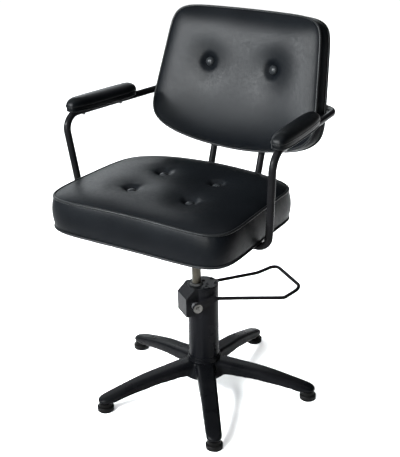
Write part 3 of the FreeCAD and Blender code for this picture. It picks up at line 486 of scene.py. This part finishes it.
def seam_low(ring):
    """Height of the lower seam over points of its plan."""
    x, y = ring[:, 0], ring[:, 1]
    lower = droop(x, y, LOW_FRONT_DROOP, LOW_REAR_DROOP)
    return SEAT_SEAM_LOW - SEAT_LOW_DROP + SEAT_ARCH_LOW * across(x) - lower


def puckers(angle, distance, size):
    """Small gathers next to a seam, fading away from it."""
    waves = np.sin(angle * 61.0) + 0.7 * np.sin(angle * 97.0 + 1.3) + 0.5 * np.sin(angle * 143.0 + 4.0)
    return size * waves * np.exp(-(distance / GATHER_FADE))


def seat_rings():
    """Rings of the seat's cover: top from the middle out, side down, and the underside in."""
    spots = [(x * MM, (y * MM) - (SEAT_MIDDLE_Y - SEAT_Y)) for x, y in SEAT_BUTTON_SPOTS]
    outline = seat_outline(-COVER_INSET, SEAT_COLUMNS)
    angle = np.linspace(0.0, 2.0 * math.pi, SEAT_COLUMNS, endpoint=False)
    rings = []
    for part in shares(64, 1.6):
        x, y = outline[:, 0] * part, outline[:, 1] * part
        crown = SEAT_CROWN * (1.0 - part ** 5) ** 0.72
        height = SEAT_SEAM_HIGH + SEAT_ARCH_HIGH * across(x) * part ** 2 + crown - droop(x, y)
        hold = 1.0 - part ** 8
        height = height - hold * dimple(x, y, spots, *SEAT_DIMPLE)
        height = height + SEAT_WAVE * np.sin(x * 17.0 + 1.0) * np.cos(y * 21.0) * (1.0 - part ** 4)
        height = height + puckers(angle, (1.0 - part) * SEAT_HALF_Y, PANEL_GATHER)
        rings.append(np.stack([x, y, height], axis=1))
    side_rows = 26
    for step in range(1, side_rows + 1):
        down = step / side_rows
        bulge = SEAT_SIDE_BULGE * math.sin(math.pi * down ** 0.92) ** 0.75
        ring = seat_outline(-COVER_INSET + SEAT_LOW_GROW * down + bulge, SEAT_COLUMNS)
        height = seam_high(ring) + (seam_low(ring) - seam_high(ring)) * down
        nearest = min(down, 1.0 - down) * SEAT_SIDE_HEIGHT
        wave = SIDE_WAVE * np.sin(angle * 9.0 + down * 3.0) * math.sin(math.pi * down)
        swell = 1.0 + (puckers(angle, nearest, SIDE_GATHER) + wave) / SEAT_HALF_X
        rings.append(np.stack([ring[:, 0] * swell, ring[:, 1] * swell, height], axis=1))
    for part in (0.985, 0.94, 0.6, 0.2):
        ring = seat_outline(SEAT_LOW_GROW - COVER_INSET, SEAT_COLUMNS) * part
        edge_level = seam_low(ring / part)
        level = edge_level + (SEAT_SEAM_LOW - edge_level) * (1.0 - part ** 6) - 1.0 * MM
        rings.append(np.stack([ring[:, 0], ring[:, 1], level], axis=1))
    shift = np.array([SEAT_X, SEAT_MIDDLE_Y, 0.0])
    return [ring + shift for ring in rings]


def build_seat():
    """Seat cover with its piping."""
    rings = seat_rings()
    points, faces = skin(rings, rings[0].mean(axis=0), rings[-1].mean(axis=0))
    cover = mesh_object("seat_cover", points, faces)
    finish_piece(cover, "seat", "seat_leather", LEATHER, "seat_cushion")
    for name, grow, seam, node in (("seat_cord_top", 0.0, seam_high, "seat_piping_top"),
                                   ("seat_cord_bottom", SEAT_LOW_GROW, seam_low, "seat_piping_bottom")):
        ring = seat_outline(grow, CORD_POINTS)
        path = np.column_stack([ring[:, 0] + SEAT_X, ring[:, 1] + SEAT_MIDDLE_Y, seam(ring)])
        cord = cord_along(name, path, PIPING_RADIUS)
        finish_piece(cord, "seat", "piping_leather", PIPING, node)


def button(name, place):
    """A covered button: a dome whose cover is gathered under its rim."""
    sides = 64
    rows = 18
    rings = []
    for row in range(1, rows + 1):
        turn = row / rows * 2.0
        reach = BUTTON_RADIUS * math.sin(turn * math.pi / 3.2)
        level = BUTTON_HEIGHT - BUTTON_HEIGHT * (1.0 - math.cos(turn * math.pi / 3.2)) * 0.9
        ring = []
        for column in range(sides):
            around = 2.0 * math.pi * column / sides
            gather = 1.0 + 0.02 * math.cos(14 * around) * max(0.0, turn - 1.0)
            ring.append((reach * gather * math.cos(around), reach * gather * math.sin(around), level))
        rings.append(ring)
    points, faces = skin(rings, (0, 0, BUTTON_HEIGHT), (0, 0, rings[-1][0][2] - 0.5 * MM))
    item = mesh_object(name, points, faces)
    item.data.transform(place)
    return item


# ------------------------------------------------------------------ back

BACK_TURN = np.array(Matrix.Rotation(-BACK_LEAN, 3, "X"))
BACK_BASE = np.array([SEAT_X, BACK_MIDDLE_Y, BACK_MIDDLE_Z])


def on_back(along, up, depth):
    """Points in space from (distance along the curve, height up the back, depth behind the front seam)."""
    turn = along / BACK_RADIUS
    radius = BACK_RADIUS + depth
    local = np.stack([radius * np.sin(turn), radius * np.cos(turn) - BACK_RADIUS, up + 0.0 * turn], axis=-1)
    return local @ BACK_TURN.T + BACK_BASE


def back_outline(grow, count):
    """The back's outline, arched above and below."""
    ring = super_ring(BACK_HALF_X + grow, BACK_HALF_Z + grow, BACK_EXPONENT, BACK_TAPER, count,
                      BACK_TOP_EXPONENT)
    arch = 1.0 - (ring[:, 0] / (BACK_HALF_X + grow)) ** 2
    up = ring[:, 1]
    reach = np.clip(np.abs(up) / BACK_HALF_Z, 0.0, 1.0) ** 1.5
    up = up + np.where(up < 0.0, -BACK_DROP * arch, BACK_RISE * arch) * reach
    return np.stack([ring[:, 0], up], axis=1)


def tube_depth(up):
    """Depth of the uprights' axis behind the front seam, at heights up the back."""
    depth = np.zeros_like(up)
    for _ in range(3):
        spot = on_back(np.full_like(up, RAIL_HALF_GAP), up, depth)
        gap = RAIL_FOOT_Y + RAIL_SLOPE * (spot[:, 2] - RAIL_FOOT_Z) - spot[:, 1]
        depth = depth + gap * math.cos(BACK_LEAN)
    return depth


def back_cover_rings():
    """Front panel from its middle out, the band round the edge, and an inner face behind."""
    spots = [(x * MM, y * MM) for x, y in BACK_BUTTON_SPOTS]
    outline = back_outline(-COVER_INSET, BACK_COLUMNS)
    angle = np.linspace(0.0, 2.0 * math.pi, BACK_COLUMNS, endpoint=False)
    rings = []
    for part in shares(64, 1.6):
        along, up = outline[:, 0] * part, outline[:, 1] * part
        crown = BACK_CROWN * (1.0 - part ** 5) ** 0.75
        hold = 1.0 - part ** 8
        depth = -crown + hold * dimple(along, up, spots, *BACK_DIMPLE)
        depth = depth + BACK_WAVE * np.sin(along * 19.0) * np.cos(up * 23.0 + 0.6) * (1.0 - part ** 4)
        depth = depth - puckers(angle, (1.0 - part) * BACK_HALF_Z, PANEL_GATHER)
        rings.append(on_back(along, up, depth))
    band_rows = 18
    for step in range(1, band_rows + 1):
        back = step / band_rows
        bulge = BACK_BAND_BULGE * math.sin(math.pi * back) ** 0.8
        ring = back_outline(-COVER_INSET + bulge, BACK_COLUMNS)
        nearest = min(back, 1.0 - back) * BACK_DEPTH
        swell = 1.0 + puckers(angle, nearest, BAND_GATHER) / BACK_HALF_X
        depth = np.full(BACK_COLUMNS, BACK_DEPTH * back)
        rings.append(on_back(ring[:, 0] * swell, ring[:, 1] * swell, depth))
    for part in (0.96, 0.5, 0.1):
        ring = back_outline(-2.0 * MM, BACK_COLUMNS) * part
        depth = np.full(BACK_COLUMNS, 30.0 * MM - 10.0 * MM * (1 - part))
        rings.append(on_back(ring[:, 0], ring[:, 1], depth))
    return rings


def rear_panel_rings():
    """The rear panel: slightly domed, pressed in along the two uprights, with a thin edge."""
    outline = back_outline(-1.6 * MM, BACK_COLUMNS)
    rings = []
    for part in shares(60, 1.5):
        along, up = outline[:, 0] * part, outline[:, 1] * part
        depth = BACK_DEPTH + 0.4 * MM + 3.0 * MM * (1.0 - part ** 6) ** 0.8
        axis = tube_depth(up)
        away = np.abs(np.abs(along) - RAIL_HALF_GAP) / TUBE_RADIUS
        pressed = axis - TUBE_RADIUS * np.sqrt(np.clip(1.0 - away ** 2, 0.0, 1.0))
        room = pressed + 9.0 * MM * np.clip(away / 1.9 - 0.45, 0.0, 4.0) ** 1.3
        depth = np.minimum(depth, np.maximum(room, BACK_DEPTH - 9.0 * MM))
        rings.append(on_back(along, up, depth))
    for part, level in ((0.99, 32.0), (0.6, 24.0), (0.1, 22.0)):
        rings.append(on_back(outline[:, 0] * part, outline[:, 1] * part, np.full(BACK_COLUMNS, level * MM)))
    return rings


def build_back():
    """Back cover, rear panel and piping."""
    rings = back_cover_rings()
    points, faces = skin(rings, rings[0].mean(axis=0), rings[-1].mean(axis=0))
    cover = mesh_object("back_cover", points, faces)
    finish_piece(cover, "seat", "seat_leather", LEATHER, "back_cushion", "back_board")
    rings = rear_panel_rings()
    points, faces = skin(rings, rings[0].mean(axis=0), rings[-1].mean(axis=0))
    panel = mesh_object("back_panel_cover", points, faces)
    finish_piece(panel, "seat", "seat_leather", LEATHER, "back_rear_panel")
    for name, depth, node in (("back_cord_front", 0.0, "back_piping_front"),
                              ("back_cord_rear", BACK_DEPTH, "back_piping_rear")):
        ring = back_outline(0.0, CORD_POINTS)
        path = on_back(ring[:, 0], ring[:, 1], np.full(len(ring), depth))
        cord = cord_along(name, path, PIPING_RADIUS)
        finish_piece(cord, "seat", "piping_leather", PIPING, node)


def build_buttons():
    """Covered buttons on the seat and the back."""
    places = []
    for x, y in SEAT_BUTTON_SPOTS:
        places.append(Matrix.Translation((SEAT_X + x * MM, SEAT_Y + y * MM, SEAT_BUTTON_LEVEL)))
    made = [button("seat_button_%d" % index, place) for index, place in enumerate(places, start=1)]
    places = []
    for x, y in BACK_BUTTON_SPOTS:
        along, up = np.array([x * MM]), np.array([y * MM])
        spot = on_back(along, up, np.array([BACK_BUTTON_DEPTH]))[0]
        ahead = on_back(along, up, np.array([BACK_BUTTON_DEPTH - 10.0 * MM]))[0] - spot
        turn = Vector(ahead).to_track_quat("Z", "Y").to_matrix().to_4x4()
        places.append(Matrix.Translation(spot) @ turn)
    back_made = [button("back_button_%d" % index, place) for index, place in enumerate(places, start=1)]
    for item in made + back_made:
        finish_piece(item, "seat", "button_leather", BUTTON_LEATHER)
    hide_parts("seat_buttons")
    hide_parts("back_buttons")


# ------------------------------------------------------------------ arm pads

# Half length, half width and squareness of a pad, and the line of the arm tube it sits on.
PAD_LENGTH = 124.0 * MM
PAD_WIDTH = 25.5 * MM
PAD_ROUND = 3.3
ARM_START = Vector((300.2, -139.3, 783.8)) * MM
ARM_END = Vector((257.1, 282.5, 770.8)) * MM
PAD_MIDDLE_Y = 1.0 * MM

# Heights above the arm tube's axis, in millimetres.
PAD_SEAM_HIGH = 20.5
PAD_SEAM_LOW = 6.5
PAD_TOP = 40.0

PAD_COLUMNS = 256
PAD_CORD_POINTS = 320
PAD_CORD_RADIUS = 1.5 * MM


def pad_matrix(side):
    """The arm pad's own frame: Y along the arm, origin on the tube's axis."""
    along = (ARM_END - ARM_START).normalized()
    middle = ARM_START + along * ((PAD_MIDDLE_Y - ARM_START.y) / along.y)
    yaw = math.atan2(-along.x, along.y) * side
    pitch = math.asin(along.z)
    turn = Matrix.Rotation(yaw, 4, "Z") @ Matrix.Rotation(pitch, 4, "X")
    return Matrix.Translation((SEAT_X + middle.x * side, SEAT_Y + middle.y, middle.z)) @ turn


def pad_drop(ring):
    """How much lower the pad lies towards its two ends."""
    ends = np.clip((np.abs(ring[:, 1]) - 0.72 * PAD_LENGTH) / (0.28 * PAD_LENGTH), 0.0, 1.0)
    return 3.0 * MM * ends ** 2


def pad_outline(grow, columns):
    """Plan of an arm pad: a long rounded pill."""
    return super_ring(PAD_WIDTH + grow, PAD_LENGTH + grow, PAD_ROUND, 0.0, columns)


def pad_rings():
    """Rings of an arm pad: rounded top, seam, lower band, and under to the tube."""
    angle = np.linspace(0.0, 2.0 * math.pi, PAD_COLUMNS, endpoint=False)
    spine = np.zeros((PAD_COLUMNS, 2))
    straight = PAD_LENGTH - PAD_WIDTH
    spine[:, 1] = np.clip(pad_outline(0.0, PAD_COLUMNS)[:, 1], -straight, straight)
    rings = []
    for turn in np.linspace(0.03, 1.0, 34) * math.pi / 2:
        reach = math.sin(turn) ** 0.95
        rise = math.cos(turn) ** 0.88
        ring = spine + (pad_outline(0.6 * MM, PAD_COLUMNS) - spine) * reach
        lift = (PAD_SEAM_HIGH + (PAD_TOP - PAD_SEAM_HIGH) * rise) * MM - pad_drop(ring)
        lift = lift + puckers(angle, (1.0 - reach) * PAD_WIDTH, PAD_GATHER)
        rings.append(np.column_stack([ring, lift]))
    for step in range(1, 13):
        down = step / 12
        bulge = 1.3 * MM * math.sin(math.pi * down) ** 0.7 - 1.2 * MM
        ring = pad_outline(bulge - 1.0 * MM * down, PAD_COLUMNS)
        high = PAD_SEAM_HIGH * MM - pad_drop(ring)
        lift = high + (PAD_SEAM_LOW * MM - high) * down
        rings.append(np.column_stack([ring, lift]))
    for part in (0.9, 0.6, 0.3):
        ring = spine + (pad_outline(-2.2 * MM, PAD_COLUMNS) - spine) * part
        level = (PAD_SEAM_LOW - 1.0 + (1 - part) * 4.0) * MM
        rings.append(np.column_stack([ring, np.full(PAD_COLUMNS, level)]))
    return rings


def build_arm_pads():
    """Both arm pads with their seam cords."""
    for name, side in (("left", 1), ("right", -1)):
        points, faces = skin(pad_rings())
        pad = mesh_object("arm_pad_cover_" + name, points, faces)
        close_holes(pad)
        pad.data.transform(pad_matrix(side))
        finish_piece(pad, "seat", "pad_leather", PAD_LEATHER, "arm_pad_" + name)
        for cord_name, grow, level in (("upper", 0.1, PAD_SEAM_HIGH), ("lower", -1.6, PAD_SEAM_LOW)):
            ring = pad_outline(grow * MM, PAD_CORD_POINTS)
            drop = pad_drop(ring) if cord_name == "upper" else 0.0
            path = np.column_stack([ring, level * MM - drop + 0.0 * ring[:, 0]])
            cord = cord_along("arm_pad_cord_%s_%s" % (cord_name, name), path, PAD_CORD_RADIUS, 12, 0.02)
            cord.data.transform(pad_matrix(side))
            finish_piece(cord, "seat", "piping_leather", PIPING)


def close_holes(item):
    """Fill the open rings of a mesh."""
    work = bmesh.new()
    work.from_mesh(item.data)
    edges = [edge for edge in work.edges if edge.is_boundary]
    bmesh.ops.holes_fill(work, edges=edges, sides=0)
    bmesh.ops.recalc_face_normals(work, faces=work.faces)
    work.to_mesh(item.data)
    work.free()
    shade_smooth(item.data)


# ------------------------------------------------------------------ base casting

CAST_VOXEL = 2.2 * MM
CAST_SMOOTHING = 85
PLUG_RADIUS = 6.0 * MM
PLUG_HEIGHT = 13.0 * MM
PLUG_LEVEL = 35.0 * MM


def build_base():
    """The base as one casting: hub and arms run together, with soft edges and filled stud holes."""
    work = bmesh.new()
    for name in ("base_hub", "base_arms"):
        work.from_mesh(nodes[name].data)
    for index in range(1, 6):
        spot = centre_of("glide_%d" % index)
        place = Matrix.Translation((spot.x, spot.y, PLUG_LEVEL))
        bmesh.ops.create_cone(work, cap_ends=True, segments=24, radius1=PLUG_RADIUS, radius2=PLUG_RADIUS,
                              depth=PLUG_HEIGHT, matrix=place)
    mesh = bpy.data.meshes.new("base_casting")
    work.to_mesh(mesh)
    work.free()
    casting = bpy.data.objects.new("base_casting", mesh)
    bpy.context.scene.collection.objects.link(casting)
    remesh = casting.modifiers.new("remesh", "REMESH")
    remesh.mode = "VOXEL"
    remesh.voxel_size = CAST_VOXEL
    smooth = casting.modifiers.new("smooth", "SMOOTH")
    smooth.factor = 0.5
    smooth.iterations = CAST_SMOOTHING
    depsgraph = bpy.context.evaluated_depsgraph_get()
    result = bpy.data.meshes.new_from_object(casting.evaluated_get(depsgraph))
    casting.modifiers.clear()
    casting.data = result
    shade_smooth(result)
    finish_piece(casting, "base", "cast_paint", CAST_PAINT, "base_hub", "base_arms")


build_seat()
build_back()
build_buttons()
build_arm_pads()
build_base()


# ------------------------------------------------------------------ stage, light and camera

FLOOR_HALF = 14.0


def build_stage():
    """A plain pale floor."""
    mesh = bpy.data.meshes.new("floor")
    corners = [(x * FLOOR_HALF, y * FLOOR_HALF, 0) for x, y in ((-1, -1), (1, -1), (1, 1), (-1, 1))]
    mesh.from_pydata(corners, [], [(0, 1, 2, 3)])
    floor = bpy.data.objects.new("floor", mesh)
    bpy.context.scene.collection.objects.link(floor)
    material, tree, shader = new_material("floor_pale")
    place = object_coordinates(tree)
    tint = noise(tree, place, 1.5, 2.0)
    tree.links.new(ramp(tree, tint, [(0.3, (0.93, 0.93, 0.93)), (0.7, (0.96, 0.96, 0.96))]),
                   shader.inputs["Base Color"])
    shader.inputs["Roughness"].default_value = 0.85
    shader.inputs["Specular IOR Level"].default_value = 0.1
    mesh.materials.append(material)


def area_light(name, place, target, size_x, size_y, power, colour, fan):
    """A soft rectangular light aimed at a point; a small fan keeps its light near its aim."""
    data = bpy.data.lights.new(name, "AREA")
    data.shape = "RECTANGLE"
    data.size = size_x
    data.size_y = size_y
    data.energy = power
    data.color = colour
    data.spread = math.radians(fan)
    light = bpy.data.objects.new(name, data)
    light.location = place
    light.rotation_mode = "QUATERNION"
    light.rotation_quaternion = (Vector(target) - Vector(place)).to_track_quat("-Z", "Y")
    bpy.context.scene.collection.objects.link(light)


WORLD_STRENGTH = 0.14
GLOW_STRENGTH = 3.1
GLOW_ANGLE = math.radians(75.0)

# Name, place, aim, width, height, watts, colour, and fan in degrees.
SOFT_BOXES = [
    ("back_left_soft", (-3.3, 1.5, 2.0), (0.0, -0.1, 0.6), 3.2, 1.7, 100.0, (0.92, 0.97, 1.0), 180.0),
    ("back_soft", (-1.9, 3.6, 2.3), (0.0, -0.1, 0.6), 2.6, 1.4, 55.0, (0.92, 0.97, 1.0), 180.0),
    ("front_wall", (-1.7, -4.8, 1.7), (0.0, 0.2, 0.95), 2.2, 1.3, 19.0, (0.90, 0.96, 1.0), 40.0),
    ("front_high", (-0.7, -4.2, 3.1), (0.0, 0.2, 0.95), 1.5, 1.0, 58.0, (0.96, 0.99, 1.0), 40.0),
    ("front_soft", (0.4, -4.6, 1.35), (0.0, 0.2, 0.95), 1.3, 1.0, 20.0, (1.0, 1.0, 0.97), 40.0),
    ("front_left_high", (-2.1, -3.1, 2.3), (0.0, -0.2, 0.66), 1.1, 0.5, 46.0, (0.95, 0.98, 1.0), 40.0),
]


def build_lights():
    """Soft studio light: an overhead glow, and soft boxes behind, to the left and in front."""
    world = bpy.data.worlds.new("studio")
    world.use_nodes = True
    world.node_tree.nodes["Background"].inputs["Color"].default_value = (0.92, 0.96, 1.0, 1.0)
    world.node_tree.nodes["Background"].inputs["Strength"].default_value = WORLD_STRENGTH
    bpy.context.scene.world = world
    glow = bpy.data.lights.new("overhead_glow", "SUN")
    glow.energy = GLOW_STRENGTH
    glow.angle = GLOW_ANGLE
    overhead = bpy.data.objects.new("overhead_glow", glow)
    overhead.location = (0.0, 0.0, 4.0)
    bpy.context.scene.collection.objects.link(overhead)
    for box in SOFT_BOXES:
        area_light(*box)


CAMERA_AZIMUTH = 0.5691
CAMERA_ELEVATION = 0.4096
CAMERA_DISTANCE = 2.6243
CAMERA_TARGET = Vector((-0.0048, -0.0031, 0.4823))
CAMERA_ROLL = -0.0165
CAMERA_LENS = 78.99
SENSOR = 36.0


def build_camera():
    """The camera: turned, raised and rolled about its target."""
    data = bpy.data.cameras.new("camera")
    data.sensor_width = SENSOR
    data.lens = CAMERA_LENS
    data.clip_start = 0.05
    data.clip_end = 60.0
    camera = bpy.data.objects.new("camera", data)
    bpy.context.scene.collection.objects.link(camera)
    back = Vector((math.sin(CAMERA_AZIMUTH) * math.cos(CAMERA_ELEVATION),
                   -math.cos(CAMERA_AZIMUTH) * math.cos(CAMERA_ELEVATION), math.sin(CAMERA_ELEVATION)))
    right = Vector((math.cos(CAMERA_AZIMUTH), math.sin(CAMERA_AZIMUTH), 0.0))
    up = back.cross(right)
    turned_right = right * math.cos(CAMERA_ROLL) + up * math.sin(CAMERA_ROLL)
    turned_up = up * math.cos(CAMERA_ROLL) - right * math.sin(CAMERA_ROLL)
    place = CAMERA_TARGET + back * CAMERA_DISTANCE
    matrix = Matrix((turned_right, turned_up, back)).transposed().to_4x4()
    matrix.translation = place
    camera.matrix_world = matrix
    bpy.context.scene.camera = camera


build_stage()
build_lights()
build_camera()
bpy.context.scene.view_settings.view_transform = "Standard"
